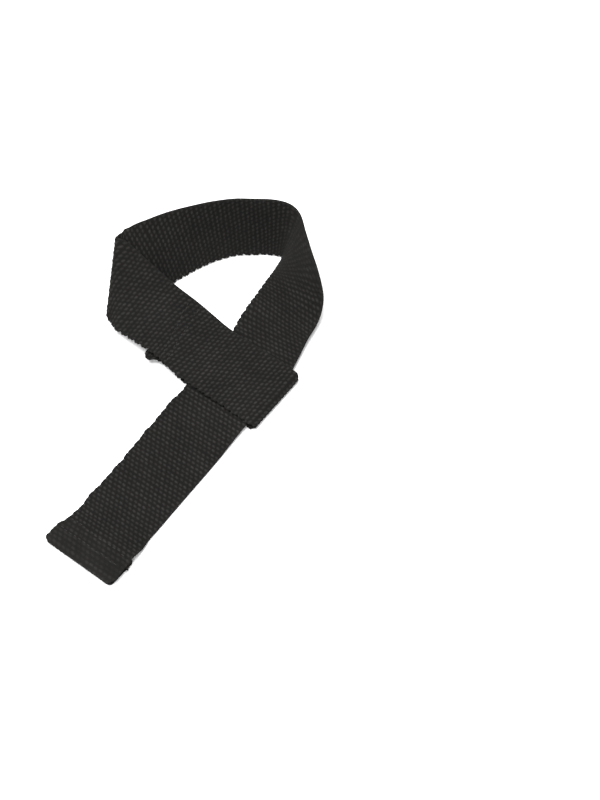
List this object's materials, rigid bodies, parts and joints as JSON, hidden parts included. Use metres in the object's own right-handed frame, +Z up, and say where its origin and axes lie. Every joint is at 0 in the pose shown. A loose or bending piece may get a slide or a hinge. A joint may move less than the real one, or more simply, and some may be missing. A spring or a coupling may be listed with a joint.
{
  "type": "weightlifting strap",
  "caption": "Cotton webbing lifting strap with a wrist loop run through a sewn eye and a flat tail with a rolled hem.",
  "frame": {"origin": "middle of the bounding box in X and Y, on the floor under the strap", "axes": "+Z up from the floor, +Y from the camera towards the back of the wrist loop, +X to the right in the picture"},
  "size_m": [0.1308, 0.1986, 0.0378],
  "materials": {
    "black_cotton_webbing": "matt coarse plain weave, charcoal black"
  },
  "bodies": {
    "root": {"webbing_strap": "black_cotton_webbing"}
  },
  "joints": []
}
